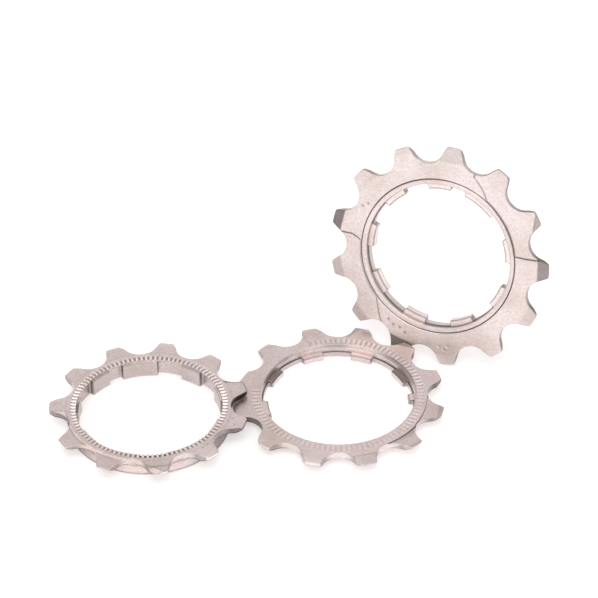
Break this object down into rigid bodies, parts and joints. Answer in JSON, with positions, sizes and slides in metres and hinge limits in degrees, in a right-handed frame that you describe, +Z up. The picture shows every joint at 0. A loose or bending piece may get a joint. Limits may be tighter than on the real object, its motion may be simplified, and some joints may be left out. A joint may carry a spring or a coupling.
{
  "type": "cassette sprocket set",
  "caption": "Loose nickel-plated cassette sprockets with splined bores, spacer collars and shaped chain teeth, laid out as a group.",
  "frame": {"origin": "on the floor, under the middle of the group's bounding box", "axes": "+Z up, +X along the group from the smallest sprocket to the largest, +Y away from the viewer"},
  "size_m": [0.1141, 0.0654, 0.0515],
  "materials": {
    "nickel_plate": "satin nickel plate over hardened steel"
  },
  "bodies": {
    "middle": {"sprocket_12t": "nickel_plate"},
    "small": {"sprocket_11t": "nickel_plate"},
    "large": {"sprocket_13t": "nickel_plate"}
  },
  "joints": [
    {"name": "lift_11t", "type": "slide", "parent": "middle", "child": "small", "axis": [0, 0, 1], "range_m": [0, 0.06]},
    {"name": "draw_13t", "type": "slide", "parent": "middle", "child": "large", "axis": [0.1079, 0.25, 0.9622], "range_m": [0, 0.06]}
  ]
}
